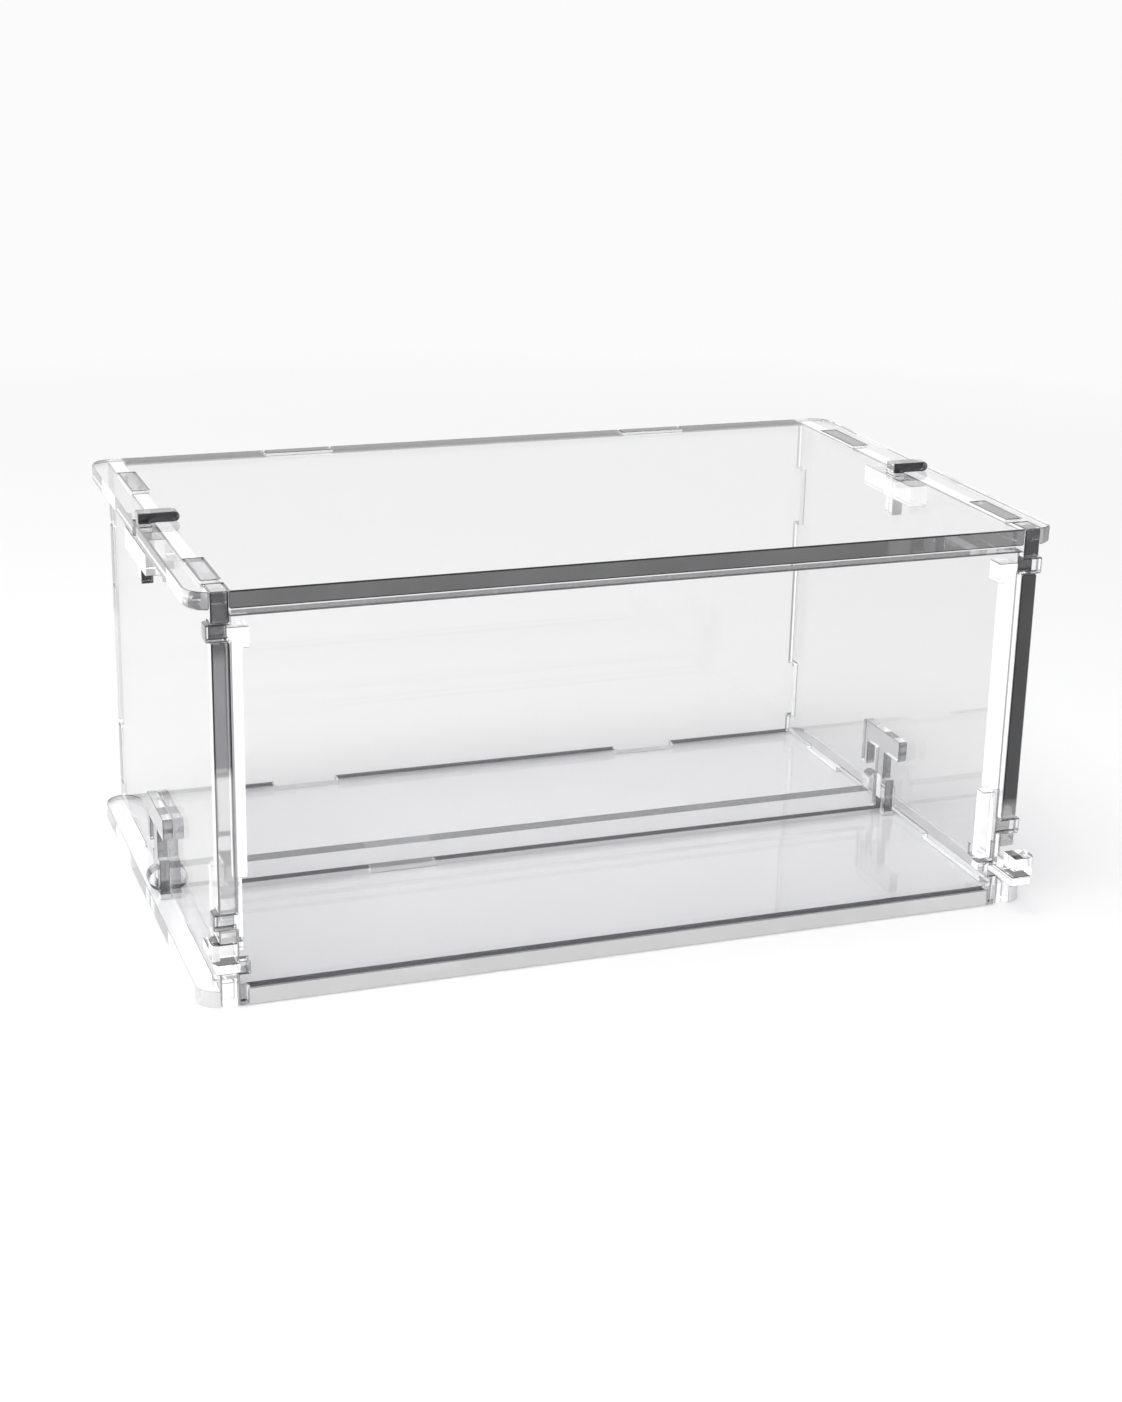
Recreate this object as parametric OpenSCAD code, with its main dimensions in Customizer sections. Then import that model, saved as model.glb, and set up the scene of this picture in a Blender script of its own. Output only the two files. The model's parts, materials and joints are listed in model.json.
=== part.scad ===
// Clear sheet case with a lift-off lid, tied by small keys.
// Origin: centre of the base's underside. +X to the right, +Y to the back, +Z up.

/* [Case] */
// Width of the base and the lid
case_w = 260; // [220:1:320]
// Depth of the base and the lid
case_d = 158; // [145:1:200]
// Height from the underside to the top of the lid
case_h = 120; // [105:1:160]
// Thickness of the large sheets
sheet_t = 5; // [4:0.5:6]
// Radius of the plates' corners
corner_r = 7; // [4:0.5:9]
// How far the plates stand past the side panels
ear = 6; // [5.5:0.5:8]

/* [Fits] */
// Gap round a cemented tab
tab_gap = 0.1; // [0.05:0.05:0.2]
// Gap round a piece that slides
slide_gap = 0.15; // [0.1:0.05:0.3]

/* [Tabs] */
// Length of the finger at the front of a side panel
finger_l = 8; // [6:0.5:9]
// Distance of the front tab from the front edge
front_tab_in = 12; // [11:0.5:16]
// Length of the front tab in the lid
front_tab_l = 22; // [15:1:30]
// Length of the front tab in the base
base_tab_l = 38; // [20:1:44]
// Distance of the back tab from the back edge
back_tab_in = 20; // [15:1:30]
// Length of the back tab
back_tab_l = 24; // [15:1:30]
// Distance of a back panel's tab from the middle
panel_tab_x = 62; // [40:1:80]
// Width of a back panel's tab
panel_tab_w = 22; // [15:1:30]
// Height of the lower back finger over the base
low_finger_up = 6; // [4:1:12]
// Drop of the upper back finger below the lid
high_finger_down = 16; // [10:1:24]
// Length of a back finger
back_finger_l = 20; // [12:1:22]

/* [Front panel] */
// Gap between the front panel and the lid
front_top_gap = 1.6; // [1:0.1:3]
// Height of the lower tongue over the base
low_tongue_up = 18; // [16:1:24]
// Height of a tongue
tongue_h = 5; // [4:0.5:6]
// Drop of the upper tongue below the lid
high_tongue_down = 9; // [8:0.5:14]
// How far a tongue stands past the side panel
tongue_out = 1.5; // [0.5:0.1:2]
// Width of the front panel's foot in the base
foot_w = 3; // [2:0.5:5]
// Thickness of the upright strip behind the front panel
stop_t = 4; // [3:0.5:5]
// Size of the strip's head
stop_head = 6; // [5:0.5:8]

/* [Cross rail] */
// Distance of the cross rail and its keys in front of the middle
rail_forward = 2; // [0:0.5:10]
// Height of the rail
rail_h = 7; // [6:0.5:10]
// Height of the rail that is left under a key
rail_web = 3.5; // [3:0.5:5]
// Place of the rail's tab, left of the middle
rail_tab_x = 50.5; // [30:0.5:80]
// Width of the rail's tab
rail_tab_w = 21; // [12:1:30]
// Height of the rail's upright ear over the rail
rail_ear_up = 6; // [3:0.5:10]
// Width of the ear
rail_ear_w = 4.3; // [3:0.1:6]

/* [Rail keys] */
// Thickness of the thin sheet that small pieces are cut from
thin_t = 3; // [2:0.5:3.5]
// Length of a rail key's crossbar
bar_l = 26; // [20:1:32]
// Height of the crossbar
bar_h = 7; // [5:0.5:9]
// Height of the crossbar over the base
bar_up = 20; // [17:1:26]
// Width of the key's stem
stem_w = 6; // [5:0.5:9]
// Width of one foot of the key
key_foot_w = 3; // [2:0.5:4]
// Drop of the prong at the crossbar's back end
prong_drop = 8; // [4:0.5:12]
// Width of the prong
prong_w = 4; // [3:0.5:6]

/* [Lid keys] */
// Length of a lid key's head
head_l = 12.3; // [10:0.1:14]
// Height of the head over the lid
head_h = 3; // [2:0.5:4]
// Width of the leg
leg_w = 3.6; // [3:0.1:3.8]
// Distance from the leg to the side panel
leg_off = 1.3; // [1:0.1:1.5]
// Reach of the leg below the top of the lid
leg_down = 18; // [14:0.5:24]
// Thickness of the catch
catch_t = 6; // [5.9:0.1:6]
// Length of the catch
catch_l = 32; // [20:1:40]
// Height of the catch
catch_h = 6.8; // [5:0.1:8]

/* [Front bolts] */
// Height of a bolt over the base
bolt_up = 5; // [4:0.5:7]
// Length of the arm
arm_l = 20; // [18:0.5:24]
// Width of the arm
arm_w = 6.4; // [5.8:0.1:7]
// How far the right bolt is drawn out
drawn = 10; // [0:0.5:10]
// Length of the knob
knob_l = 7; // [5:0.5:8]
// Height of the knob
knob_h = 6; // [5:0.5:7]
// How far the knob stands past the side panel
knob_out = 2; // [1:0.5:3]
// Width of the upright grip
post_w = 4; // [3:0.5:4]
// Height of the upright grip
post_h = 23; // [16:1:26]

/* [Hidden] */
$fn = 48;
clear = [0.9, 0.93, 0.95, 0.35];
half_w = case_w / 2;
half_d = case_d / 2;
lid_z = case_h - sheet_t;
outer_x = half_w - ear;
inner_x = outer_x - sheet_t;
mid_y = -rail_forward;
rail_top = sheet_t + rail_h;
seat_z = sheet_t + rail_web;
finger_end = -half_d + finger_l;
front_tab_y = -half_d + front_tab_in;
back_tab_y = half_d - back_tab_in - back_tab_l;
low_finger_z = sheet_t + low_finger_up;
high_finger_z = lid_z - high_finger_down - back_finger_l;
low_tongue_z = sheet_t + low_tongue_up;
high_tongue_z = lid_z - high_tongue_down;
bolt_z = sheet_t + bolt_up;
knob_z = bolt_z + thin_t;
post_top = knob_z + post_h;
cut_over = 1;
left_face = -outer_x;
right_face = inner_x;

// A rectangle between two corners
module rect(x0, y0, x1, y1) translate([x0, y0]) square([x1 - x0, y1 - y0]);

// A rectangle with four round corners
module round_rect(x0, y0, x1, y1, r) {
    rect(x0 + r, y0, x1 - r, y1);
    rect(x0, y0 + r, x1, y1 - r);
    for (x = [x0 + r, x1 - r], y = [y0 + r, y1 - r]) translate([x, y]) circle(r);
}

// A flat outline laid level, from height z upward
module level(z, t) translate([0, 0, z]) linear_extrude(t) children();

// An outline in X and Z stood up, from depth y backward
module facing_front(y, t) translate([0, y + t, 0]) rotate([90, 0, 0]) linear_extrude(t) children();

// An outline in Y and Z stood up, from place x to the right
module facing_side(x, t) translate([x, 0, 0]) rotate([90, 0, 90]) linear_extrude(t) children();

// Mirrors a piece to the left side
module on_left() mirror([1, 0, 0]) children();

// Places where a side panel passes through a plate: two tabs and the front finger
module side_slots(front_l, gap) {
    for (s = [-1, 1]) {
        x0 = s > 0 ? inner_x : -outer_x;
        rect(x0 - gap, front_tab_y - gap, x0 + sheet_t + gap, front_tab_y + front_l + gap);
        rect(x0 - gap, back_tab_y - gap, x0 + sheet_t + gap, back_tab_y + back_tab_l + gap);
        rect(x0 - gap, -half_d - cut_over, x0 + sheet_t + gap, finger_end + gap);
    }
}

// Places where the back panel passes through a plate
module back_slots(gap) {
    for (x = [-panel_tab_x, panel_tab_x])
        rect(x - panel_tab_w / 2 - gap, half_d - sheet_t - gap, x + panel_tab_w / 2 + gap, half_d + cut_over);
}

// The two feet of a rail key, seen from above
module key_feet(face, gap) {
    for (s = [-1, 1]) {
        y0 = mid_y + s * (sheet_t / 2 + tab_gap + key_foot_w / 2);
        rect(face - slide_gap - thin_t - gap, y0 - key_foot_w / 2 - gap, face - slide_gap + gap,
             y0 + key_foot_w / 2 + gap);
    }
}

module base_plate() color(clear) level(0, sheet_t) difference() {
    round_rect(-half_w, -half_d, half_w, half_d, corner_r);
    side_slots(base_tab_l, tab_gap);
    back_slots(tab_gap);
    for (s = [-1, 1])
        rect(min(s * (inner_x - foot_w - tab_gap), s * inner_x), -half_d - cut_over,
             max(s * (inner_x - foot_w - tab_gap), s * inner_x), -half_d + sheet_t + tab_gap);
    rect(-rail_tab_x - rail_tab_w / 2 - tab_gap, mid_y - sheet_t / 2 - tab_gap,
         -rail_tab_x + rail_tab_w / 2 + tab_gap, mid_y + sheet_t / 2 + tab_gap);
    key_feet(left_face, slide_gap);
    key_feet(right_face, slide_gap);
}

// The leg of a lid key, seen from above
module leg_plan(face, gap) rect(face - leg_off - leg_w - gap, mid_y - sheet_t / 2 - gap,
                                face - leg_off + gap, mid_y + sheet_t / 2 + gap);

module lid_plate() color(clear) level(lid_z, sheet_t) difference() {
    round_rect(-half_w, -half_d, half_w, half_d, corner_r);
    side_slots(front_tab_l, slide_gap);
    back_slots(slide_gap);
    leg_plan(right_face, slide_gap);
    leg_plan(left_face, slide_gap);
    rect(-half_w - cut_over, mid_y - sheet_t / 2 - slide_gap, left_face - leg_off - leg_w,
         mid_y + sheet_t / 2 + slide_gap);
}

module side_outline() difference() {
    union() {
        rect(-half_d, sheet_t, half_d, lid_z);
        rect(-half_d, 0, finger_end, case_h);
        rect(front_tab_y, 0, front_tab_y + base_tab_l, lid_z);
        rect(front_tab_y, lid_z, front_tab_y + front_tab_l, case_h);
        rect(back_tab_y, 0, back_tab_y + back_tab_l, case_h);
    }
    for (z = [low_finger_z, high_finger_z])
        rect(half_d - sheet_t - tab_gap, z - tab_gap, half_d + cut_over, z + back_finger_l + tab_gap);
    for (z = [low_tongue_z, high_tongue_z])
        rect(-half_d - cut_over, z - tab_gap, -half_d + sheet_t + tab_gap, z + tongue_h + tab_gap);
    rect(mid_y - sheet_t / 2 - tab_gap, 0, mid_y + sheet_t / 2 + tab_gap, rail_top + tab_gap);
    rect(-half_d - cut_over, bolt_z, -half_d + arm_l + slide_gap, knob_z + slide_gap);
    rect(-half_d - cut_over, knob_z, -half_d + knob_l + slide_gap, knob_z + knob_h + slide_gap);
}

module side_panel_right() color(clear) facing_side(inner_x, sheet_t) side_outline();

module side_panel_left() color(clear) facing_side(-outer_x, sheet_t) side_outline();

module back_panel() color(clear) facing_front(half_d - sheet_t, sheet_t) union() {
    rect(-inner_x + tab_gap, sheet_t, inner_x - tab_gap, lid_z);
    for (x = [-panel_tab_x, panel_tab_x]) rect(x - panel_tab_w / 2, 0, x + panel_tab_w / 2, case_h);
    for (z = [low_finger_z, high_finger_z]) rect(-outer_x, z, outer_x, z + back_finger_l);
}

module front_panel() color(clear) facing_front(-half_d, sheet_t) difference() {
    union() {
        rect(-inner_x + tab_gap, sheet_t, inner_x - tab_gap, lid_z - front_top_gap);
        for (z = [low_tongue_z, high_tongue_z])
            rect(-outer_x - tongue_out, z, outer_x + tongue_out, z + tongue_h);
        for (x = [-inner_x + tab_gap, inner_x - foot_w]) rect(x, 0, x + foot_w - tab_gap, sheet_t);
    }
    for (s = [-1, 1])
        translate([s * inner_x - arm_w / 2, bolt_z - slide_gap]) square([arm_w, thin_t + 2 * slide_gap]);
}

module floor_rail() color(clear) facing_front(mid_y - sheet_t / 2, sheet_t) difference() {
    union() {
        rect(-half_w + rail_h / 2, sheet_t, outer_x, rail_top);
        translate([-half_w + rail_h / 2, sheet_t + rail_h / 2]) circle(rail_h / 2);
        rect(-rail_tab_x - rail_tab_w / 2, 0, -rail_tab_x + rail_tab_w / 2, sheet_t);
        ear_x = right_face - thin_t - 3 * slide_gap - rail_ear_w;
        rect(ear_x, sheet_t, ear_x + rail_ear_w, rail_top + rail_ear_up - rail_ear_w / 2);
        translate([ear_x + rail_ear_w / 2, rail_top + rail_ear_up - rail_ear_w / 2]) circle(rail_ear_w / 2);
    }
    for (face = [left_face, right_face])
        rect(face - thin_t - 2 * slide_gap, seat_z, face, rail_top + cut_over);
}

// A T-shaped key astride the rail, on the left face of its side panel
module rail_key(face) color(clear) facing_side(face - slide_gap - thin_t, thin_t) {
    foot_out = sheet_t / 2 + tab_gap + key_foot_w;
    bar_z = sheet_t + bar_up;
    translate([mid_y, 0]) difference() {
        union() {
            round_rect(-bar_l / 2, bar_z, bar_l / 2, bar_z + bar_h, 1);
            rect(bar_l / 2 - prong_w, bar_z - prong_drop, bar_l / 2, bar_z + bar_h / 2);
            rect(-stem_w / 2, rail_top, stem_w / 2, bar_z + 1);
            rect(-foot_out, 0.5, foot_out, rail_top + 4);
        }
        rect(-sheet_t / 2 - tab_gap, 0, sheet_t / 2 + tab_gap, seat_z);
    }
}

// A hooked key: its head lies on the lid and its leg goes down beside the panel
module lid_key(face) color(clear) facing_front(mid_y - sheet_t / 2, sheet_t) {
    head_x = face - leg_off - leg_w - 0.4;
    rect(head_x, case_h, head_x + head_l - head_h / 2, case_h + head_h);
    translate([head_x + head_l - head_h / 2, case_h + head_h / 2]) circle(head_h / 2);
    rect(face - leg_off - leg_w, case_h - leg_down, face - leg_off, case_h + head_h / 2);
}

// A slotted bar on the panel's left face, just under the lid
module lid_catch(face) color(clear) level(lid_z - catch_h - slide_gap, catch_h) difference() {
    rect(face - catch_t, mid_y - catch_l / 2, face, mid_y + catch_l / 2);
    leg_plan(face, slide_gap);
}

// Bolt pieces on the right, home against the front edge; out draws them forward
module bolt_arm(out) color(clear) translate([0, -out, 0]) level(bolt_z, thin_t) {
    x0 = inner_x + sheet_t / 2 - arm_w / 2;
    rect(x0, -half_d, x0 + arm_w, -half_d + arm_l);
    rect(x0 - post_w, -half_d + arm_l - post_w, x0 + arm_w, -half_d + arm_l);
}

module bolt_post(out) color(clear) translate([0, -out, 0]) {
    x0 = inner_x + sheet_t / 2 - arm_w / 2 - post_w;
    y0 = -half_d + arm_l - post_w;
    translate([x0, y0, knob_z]) cube([post_w, post_w, post_h]);
}

module bolt_knob(out) color(clear) translate([0, -out, 0]) level(knob_z, knob_h) {
    y0 = -half_d;
    rect(inner_x, y0, outer_x, y0 + knob_l);
    round_rect(outer_x - knob_l / 2, y0, outer_x + knob_out, y0 + knob_l, knob_out);
}

module front_stop() color(clear) {
    foot_z = post_top + 1;
    head_z = high_tongue_z - stop_head / 2;
    translate([inner_x - stop_t, -half_d + sheet_t, foot_z]) cube([stop_t, stop_t, head_z - foot_z]);
    translate([inner_x - stop_head, -half_d + sheet_t, head_z]) cube([stop_head, stop_head, stop_head]);
}

base_plate();
lid_plate();
side_panel_left();
side_panel_right();
back_panel();
front_panel();
floor_rail();
lid_key(left_face);  // lid_key_left
lid_key(right_face);  // lid_key_right
lid_catch(left_face);  // lid_catch_left
lid_catch(right_face);  // lid_catch_right
rail_key(left_face);  // rail_key_left
rail_key(right_face);  // rail_key_right
on_left() bolt_arm(0);  // bolt_arm_left
bolt_arm(drawn);  // bolt_arm_right
on_left() bolt_post(0);  // bolt_post_left
bolt_post(drawn);  // bolt_post_right
on_left() bolt_knob(0);  // bolt_knob_left
bolt_knob(drawn);  // bolt_knob_right
on_left() front_stop();  // front_stop_left
front_stop();  // front_stop_right
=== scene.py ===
import json
import math

import bmesh
import bpy
from mathutils import Matrix, Vector


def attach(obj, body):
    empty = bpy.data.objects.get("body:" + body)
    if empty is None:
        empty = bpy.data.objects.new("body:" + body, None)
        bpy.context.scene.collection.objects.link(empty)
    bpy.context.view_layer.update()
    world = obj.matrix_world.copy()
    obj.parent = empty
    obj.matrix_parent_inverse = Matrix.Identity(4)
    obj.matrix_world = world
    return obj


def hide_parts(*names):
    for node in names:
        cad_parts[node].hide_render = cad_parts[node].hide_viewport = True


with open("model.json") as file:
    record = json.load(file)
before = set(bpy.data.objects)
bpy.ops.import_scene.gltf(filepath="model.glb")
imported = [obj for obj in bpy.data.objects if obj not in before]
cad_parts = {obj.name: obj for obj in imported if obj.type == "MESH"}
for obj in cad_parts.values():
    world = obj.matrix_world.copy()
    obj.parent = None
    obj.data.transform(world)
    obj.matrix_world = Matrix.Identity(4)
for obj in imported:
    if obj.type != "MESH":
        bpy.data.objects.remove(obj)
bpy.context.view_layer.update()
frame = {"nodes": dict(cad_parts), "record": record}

# The camera stands to the left and in front of the case and looks down on it.
# Its place and angles come from a fit to the edges of the two plates.
azimuth = math.radians(20.14)
elevation = math.radians(18.86)
roll = math.radians(1.22)
camera_place = Vector((-0.2434, -0.6727, 0.2966))
film_side = 36.0
focal_pixels = 2388.6
photo_height = 1402
nearest_seen = 0.01

ahead = Vector(
    (math.sin(azimuth) * math.cos(elevation), math.cos(azimuth) * math.cos(elevation), -math.sin(elevation))
)
level_right = Vector((math.cos(azimuth), -math.sin(azimuth), 0))
level_up = level_right.cross(ahead)
right = level_right * math.cos(roll) + level_up * math.sin(roll)
up = right.cross(ahead)
camera = bpy.data.objects.new("camera", bpy.data.cameras.new("camera"))
camera.data.sensor_width = film_side
camera.data.lens = focal_pixels / photo_height * film_side
camera.data.clip_start = nearest_seen
camera.matrix_world = Matrix(
    (
        (right.x, up.x, -ahead.x, camera_place.x),
        (right.y, up.y, -ahead.y, camera_place.y),
        (right.z, up.z, -ahead.z, camera_place.z),
        (0, 0, 0, 1),
    )
)
bpy.context.scene.collection.objects.link(camera)
bpy.context.scene.camera = camera
bpy.context.scene.view_settings.view_transform = "Standard"

# The room is a white seamless sweep. What the camera, a reflection or a refraction sees of it is white,
# and the light it gives the object stays at a plain level.
room_white = "#fbfbfb"
room_light = 0.62


def hex_colour(text):
    """Turns an sRGB hex value into the linear colour that a shader takes."""
    parts = [int(text[i : i + 2], 16) / 255 for i in (1, 3, 5)]
    return tuple(v / 12.92 if v <= 0.04045 else ((v + 0.055) / 1.055) ** 2.4 for v in parts) + (1.0,)


def add_node(tree, kind, inputs=None, **settings):
    """Adds a node, sets its settings, and sets or links each named input."""
    node = tree.nodes.new(kind)
    for name, value in settings.items():
        setattr(node, name, value)
    for name, value in (inputs or {}).items():
        if isinstance(value, bpy.types.NodeSocket):
            tree.links.new(value, node.inputs[name])
        else:
            node.inputs[name].default_value = value
    return node


world = bpy.data.worlds.new("studio")
bpy.context.scene.world = world
world.use_nodes = True
tree = world.node_tree
tree.nodes.clear()
path = add_node(tree, "ShaderNodeLightPath")
seen = add_node(
    tree,
    "ShaderNodeMath",
    {0: path.outputs["Is Camera Ray"], 1: path.outputs["Is Glossy Ray"]},
    operation="MAXIMUM",
)
shown = add_node(
    tree, "ShaderNodeMath", {0: seen.outputs[0], 1: path.outputs["Is Transmission Ray"]}, operation="MAXIMUM"
)
lighting = add_node(tree, "ShaderNodeBackground", {"Color": hex_colour("#ffffff"), "Strength": room_light})
backdrop = add_node(tree, "ShaderNodeBackground", {"Color": hex_colour(room_white), "Strength": 1.0})
mixed = add_node(
    tree, "ShaderNodeMixShader", {0: shown.outputs[0], 1: lighting.outputs[0], 2: backdrop.outputs[0]}
)
add_node(tree, "ShaderNodeOutputWorld", {"Surface": mixed.outputs[0]})

# The floor is white paper. It keeps the shadow near the case and turns plain white further away, as a
# lit sweep does. It lies a hair below the underside, so that the two surfaces don't share one plane.
floor_half = 2.5
floor_drop = 0.0003
shadow_reach = 0.22
white_reach = 0.9
least_white = 0.05
floor_mesh = bpy.data.meshes.new("floor")
floor_mesh.from_pydata(
    [(x * floor_half, y * floor_half, -floor_drop) for x, y in ((-1, -1), (1, -1), (1, 1), (-1, 1))],
    [],
    [(0, 1, 2, 3)],
)
floor = bpy.data.objects.new("floor", floor_mesh)
bpy.context.scene.collection.objects.link(floor)
paper = bpy.data.materials.new("white_paper_sweep")
paper.use_nodes = True
tree = paper.node_tree
tree.nodes.clear()
matt = add_node(tree, "ShaderNodeBsdfDiffuse", {"Color": hex_colour("#f6f6f6")})
lit = add_node(tree, "ShaderNodeEmission", {"Color": hex_colour(room_white), "Strength": 1.0})
place = add_node(tree, "ShaderNodeTexCoord")
away = add_node(tree, "ShaderNodeVectorMath", {0: place.outputs["Object"]}, operation="LENGTH")
fade = add_node(
    tree,
    "ShaderNodeMapRange",
    {
        "Value": away.outputs["Value"],
        "From Min": shadow_reach,
        "From Max": white_reach,
        "To Min": least_white,
        "To Max": 1.0,
    },
)
sweep = add_node(tree, "ShaderNodeMixShader", {0: fade.outputs[0], 1: matt.outputs[0], 2: lit.outputs[0]})
path = add_node(tree, "ShaderNodeLightPath")
ground = add_node(
    tree,
    "ShaderNodeMixShader",
    {0: path.outputs["Is Diffuse Ray"], 1: sweep.outputs[0], 2: matt.outputs[0]},
)
add_node(tree, "ShaderNodeOutputMaterial", {"Surface": ground.outputs[0]})
floor_mesh.materials.append(paper)

# One large soft box hangs over the left front, so that the shadow falls soft, to the right and the back.
# It looks at the middle of the case's underside.
softbox_size = 1.1
softbox_energy = 17.0
softbox_place = Vector((-0.5, -0.3, 1.5))
softbox = bpy.data.objects.new("softbox", bpy.data.lights.new("softbox", "AREA"))
softbox.data.size = softbox_size
softbox.data.energy = softbox_energy
softbox.location = softbox_place
softbox.rotation_euler = (-softbox_place).to_track_quat("-Z", "Y").to_euler()
bpy.context.scene.collection.objects.link(softbox)

# The base and the lid are the same 5 mm cast acrylic sheet, laser cut with round corners. Their faces
# stay clear. The lid's front edge is painted grey as shade, and the base's is painted pale as light.
sheet_chamfer = 0.0004
weld_distance = 0.000005
flat_angle = math.radians(2)
sharp_angle = math.radians(40)
face_cosine = 0.9
side_cosine = 0.5
chamfer_cosine = 0.7
chamfer_spread = 0.15
whole_height = -1.0
fade_height = 0.004
streaks_a_metre = 60.0
streak_detail = 3.0
acrylic_ior = 1.49
cut_roughness = 0.06
# The strength of a painted glow: white emission on the pale cut edges that stands in for light gathered in
# the sheet.
painted_edge_glow = 0.22


def acrylic(
    name,
    thin_axis,
    face,
    dark_axis,
    painted_edge_dark,
    painted_edge_light,
    edge_clear,
    depth_tint,
    density,
    dark_from=whole_height,
):
    """Cast acrylic, laser cut: clear polished faces, and pale cut edges with a little painted glow that
    stands in for light gathered in the sheet. Edges that look along one axis above a height are painted grey
    as shade, and chamfers painted dark as shade outline each sheet."""
    material = bpy.data.materials.new(name)
    material.use_nodes = True
    tree = material.node_tree
    tree.nodes.clear()
    place = add_node(tree, "ShaderNodeTexCoord")
    facing = add_node(tree, "ShaderNodeSeparateXYZ", {0: place.outputs["Normal"]})
    along = add_node(tree, "ShaderNodeMath", {0: facing.outputs[thin_axis]}, operation="ABSOLUTE")
    on_edge = add_node(tree, "ShaderNodeMath", {0: along.outputs[0], 1: face_cosine}, operation="LESS_THAN")
    # Painted shade: edges that face along the dark axis, above a height, take a streaked grey colour
    # standing in for shade.
    across = add_node(tree, "ShaderNodeMath", {0: facing.outputs[dark_axis]}, operation="ABSOLUTE")
    on_side = add_node(
        tree, "ShaderNodeMath", {0: across.outputs[0], 1: side_cosine}, operation="GREATER_THAN"
    )
    height = add_node(tree, "ShaderNodeSeparateXYZ", {0: place.outputs["Object"]})
    above = add_node(
        tree,
        "ShaderNodeMapRange",
        {"Value": height.outputs["Z"], "From Min": dark_from - fade_height, "From Max": dark_from},
    )
    dark = add_node(
        tree, "ShaderNodeMath", {0: on_side.outputs[0], 1: above.outputs[0]}, operation="MULTIPLY"
    )
    streaks = add_node(
        tree,
        "ShaderNodeTexNoise",
        {"Vector": place.outputs["Object"], "Scale": streaks_a_metre, "Detail": streak_detail},
    )
    streaked = add_node(
        tree,
        "ShaderNodeMix",
        {0: streaks.outputs["Fac"], 6: hex_colour(painted_edge_dark), 7: hex_colour(painted_edge_light)},
        data_type="RGBA",
    )
    edge = add_node(
        tree,
        "ShaderNodeMix",
        {0: dark.outputs[0], 6: hex_colour("#f0f0f1"), 7: streaked.outputs[2]},
        data_type="RGBA",
    )
    colour = add_node(
        tree,
        "ShaderNodeMix",
        {0: on_edge.outputs[0], 6: hex_colour(face), 7: edge.outputs[2]},
        data_type="RGBA",
    )
    # Painted shade: the chamfers take a dark grey that draws a dark outline round each sheet.
    on_chamfer = add_node(
        tree,
        "ShaderNodeMath",
        {0: along.outputs[0], 1: chamfer_cosine, 2: chamfer_spread},
        operation="COMPARE",
    )
    painted_outline = add_node(
        tree,
        "ShaderNodeMix",
        {0: on_chamfer.outputs[0], 6: colour.outputs[2], 7: hex_colour("#3a3a3d")},
        data_type="RGBA",
    )
    rough = add_node(tree, "ShaderNodeMath", {0: on_edge.outputs[0], 1: cut_roughness}, operation="MULTIPLY")
    # The painted grey edges let less light through, so that their painted shade stays opaque.
    see_through = add_node(
        tree, "ShaderNodeMapRange", {"Value": dark.outputs[0], "To Min": 1.0, "To Max": edge_clear}
    )
    # Painted light: the pale cut edges emit a little white, as if lit from inside the sheet, though no lamp
    # is there.
    painted_glow_share = add_node(
        tree,
        "ShaderNodeMath",
        {0: on_edge.outputs[0], 1: dark.outputs[0]},
        operation="SUBTRACT",
        use_clamp=True,
    )
    glow = add_node(tree, "ShaderNodeMath", {0: painted_glow_share.outputs[0], 1: painted_edge_glow}, operation="MULTIPLY")
    clear = add_node(
        tree,
        "ShaderNodeBsdfPrincipled",
        {
            "Base Color": painted_outline.outputs[2],
            "Roughness": rough.outputs[0],
            "IOR": acrylic_ior,
            "Transmission Weight": see_through.outputs[0],
            "Emission Color": hex_colour("#ffffff"),
            "Emission Strength": glow.outputs[0],
        },
    )
    path = add_node(tree, "ShaderNodeLightPath")
    let_through = add_node(tree, "ShaderNodeBsdfTransparent", {"Color": hex_colour("#e2e2e4")})
    surface = add_node(
        tree,
        "ShaderNodeMixShader",
        {0: path.outputs["Is Shadow Ray"], 1: clear.outputs[0], 2: let_through.outputs[0]},
    )
    inside = add_node(
        tree, "ShaderNodeVolumeAbsorption", {"Color": hex_colour(depth_tint), "Density": density}
    )
    add_node(
        tree, "ShaderNodeOutputMaterial", {"Surface": surface.outputs[0], "Volume": inside.outputs[0]}
    )
    return material


def cut_piece(node, material, chamfer):
    """Gives a node's solid the small polished chamfer of a laser cut, and puts it in the node's place."""
    bm = bmesh.new()
    bm.from_mesh(frame["nodes"][node].data)
    bmesh.ops.remove_doubles(bm, verts=bm.verts, dist=weld_distance)
    bmesh.ops.dissolve_limit(bm, angle_limit=flat_angle, verts=bm.verts, edges=bm.edges)
    mesh = bpy.data.meshes.new(node + "_cut")
    bm.to_mesh(mesh)
    bm.free()
    piece = bpy.data.objects.new(node + "_cut", mesh)
    bpy.context.scene.collection.objects.link(piece)
    bevel = piece.modifiers.new("chamfer", "BEVEL")
    bevel.width = chamfer
    bevel.segments = 1
    bevel.limit_method = "ANGLE"
    bevel.angle_limit = sharp_angle
    view = bpy.context.evaluated_depsgraph_get()
    finished = bpy.data.meshes.new_from_object(piece.evaluated_get(view))
    piece.modifiers.remove(bevel)
    piece.data = finished
    finished.materials.clear()
    finished.materials.append(material)
    bodies = frame["record"]["behaviour"]["bodies"]
    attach(piece, next(body for body, nodes in bodies.items() if node in nodes))
    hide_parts(node)


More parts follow.
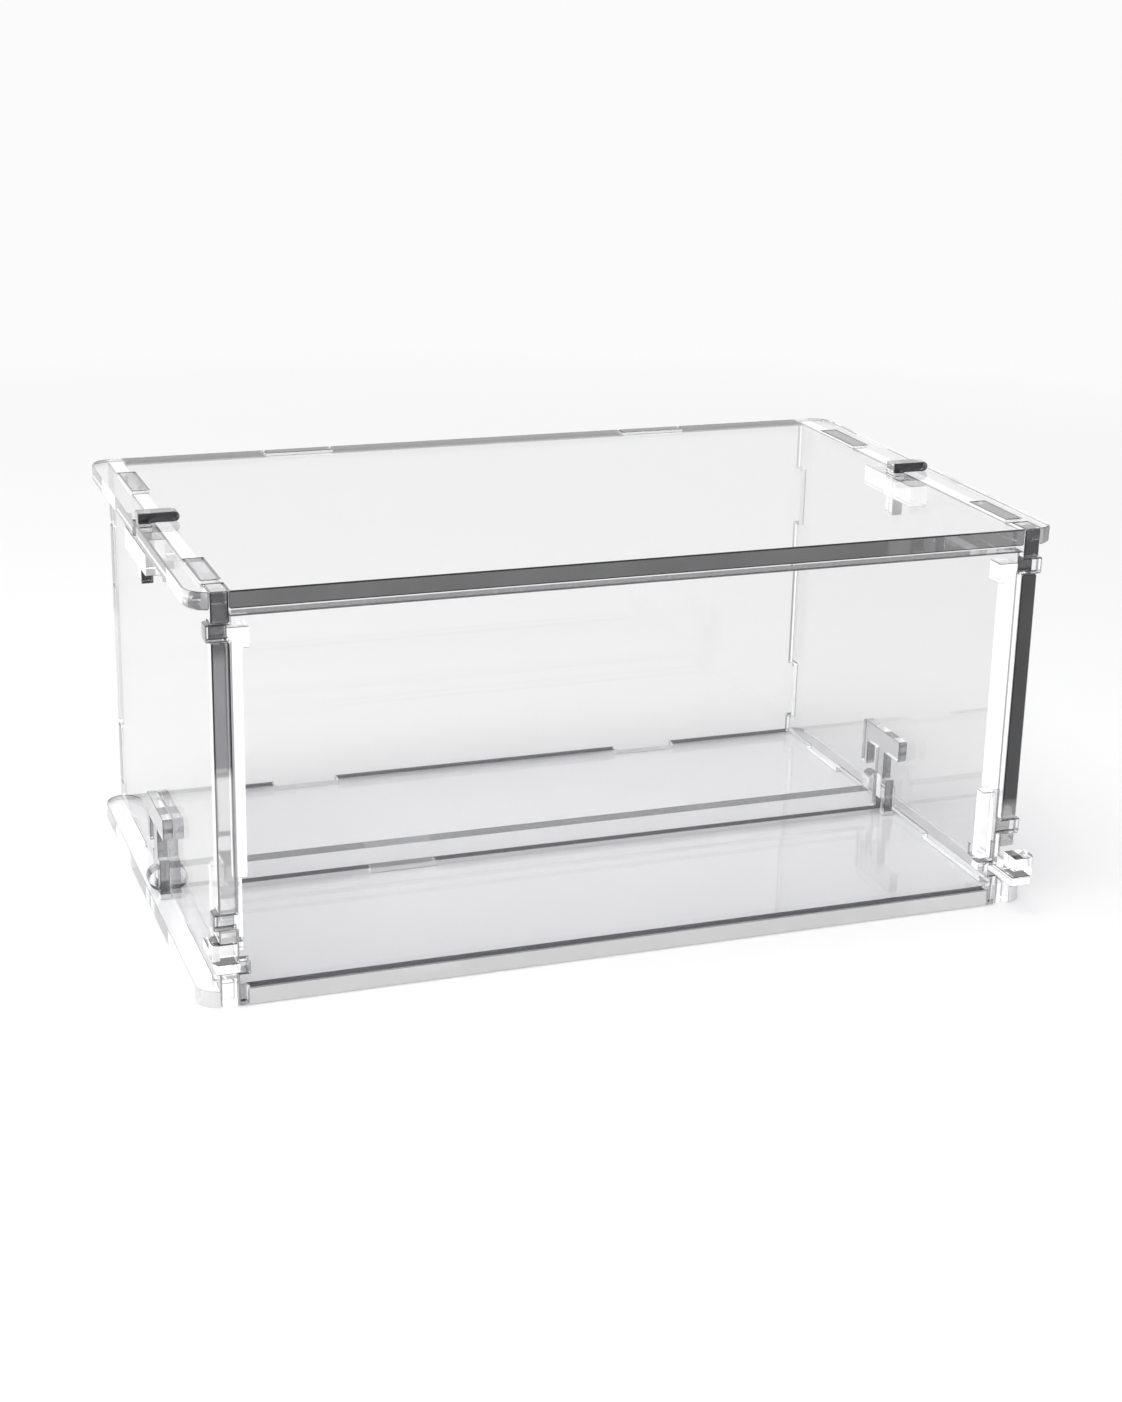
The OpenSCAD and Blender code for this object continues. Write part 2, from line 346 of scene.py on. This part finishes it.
lid_acrylic = acrylic(
    "cast_acrylic_lid",
    thin_axis="Z",
    face="#fafafa",
    dark_axis="Y",
    painted_edge_dark="#a4a4a6",
    painted_edge_light="#cdcdcf",
    edge_clear=0.7,
    depth_tint="#b6b6b8",
    density=6.0,
)
base_acrylic = acrylic(
    "cast_acrylic_base",
    thin_axis="Z",
    face="#f7f7f7",
    dark_axis="Y",
    painted_edge_dark="#eeeeef",
    painted_edge_light="#fafafa",
    edge_clear=0.25,
    depth_tint="#c2c2c4",
    density=4.0,
)
cut_piece("lid_plate", lid_acrylic, sheet_chamfer)
cut_piece("base_plate", base_acrylic, sheet_chamfer)

# The side panels are 5 mm sheet on edge, notched for the back panel's fingers and tabbed into both plates.
# Their front edges look at the camera. Each is painted dark grey as shade above a height of its own and
# stays clear below it.
left_dark_from = 0.071
right_dark_from = 0.035
for node, dark_from in (("side_panel_left", left_dark_from), ("side_panel_right", right_dark_from)):
    side_acrylic = acrylic(
        "cast_acrylic_" + node,
        thin_axis="X",
        face="#f8f8f8",
        dark_axis="Y",
        painted_edge_dark="#6a6a6d",
        painted_edge_light="#8e8e91",
        edge_clear=0.75,
        depth_tint="#b0b0b2",
        density=6.0,
        dark_from=dark_from,
    )
    cut_piece(node, side_acrylic, sheet_chamfer)

# The front and back panels and the cross rail are 5 mm sheet too, seen nearly face on.
# The rail is a narrow strip, notched for its keys and tabbed into the base. Edges that look up are painted
# grey as shade.
wall_acrylic = acrylic(
    "cast_acrylic_wall",
    thin_axis="Y",
    face="#fafafa",
    dark_axis="Z",
    painted_edge_dark="#9c9c9e",
    painted_edge_light="#c6c6c8",
    edge_clear=0.7,
    depth_tint="#bababc",
    density=5.0,
)
for node in ("back_panel", "front_panel", "floor_rail"):
    cut_piece(node, wall_acrylic, sheet_chamfer)

# The lid keys are small acrylic hooks that hang through the lid and are held by fit alone.
# Their cut face is painted nearly black, standing in for the shade it shows from the front.
fitting_chamfer = 0.0002
key_acrylic = acrylic(
    "cut_acrylic_key",
    thin_axis="Y",
    face="#2e2e30",
    dark_axis="Z",
    painted_edge_dark="#e2e2e4",
    painted_edge_light="#f2f2f3",
    edge_clear=0.8,
    depth_tint="#8a8a8c",
    density=40.0,
)
for node in ("lid_key_left", "lid_key_right"):
    cut_piece(node, key_acrylic, fitting_chamfer)

# The rail keys are cut from 3 mm acrylic sheet and stand astride the rail, with their feet in the base.
# Their faces are clear, and the edges that look forward are painted grey as shade.
rail_key_acrylic = acrylic(
    "cut_acrylic_rail_key",
    thin_axis="X",
    face="#eeeeef",
    dark_axis="Y",
    painted_edge_dark="#6a6a6c",
    painted_edge_light="#d6d6d8",
    edge_clear=0.8,
    depth_tint="#9a9a9c",
    density=8.0,
)
for node in ("rail_key_left", "rail_key_right"):
    cut_piece(node, rail_key_acrylic, fitting_chamfer)

# The catches, the bolts and the corner strips are small blocks of clear acrylic, cemented or sliding.
# All their sides stay bright with a little painted glow, and only their chamfers draw a painted dark line of
# shade.
block_acrylic = acrylic(
    "cut_acrylic_block",
    thin_axis="Z",
    face="#fafafa",
    dark_axis="Z",
    painted_edge_dark="#fafafa",
    painted_edge_light="#fdfdfd",
    edge_clear=1.0,
    depth_tint="#d8d8da",
    density=1.0,
)
for block in ("lid_catch", "bolt_arm", "bolt_post", "bolt_knob", "front_stop"):
    for side in ("left", "right"):
        cut_piece(block + "_" + side, block_acrylic, fitting_chamfer)
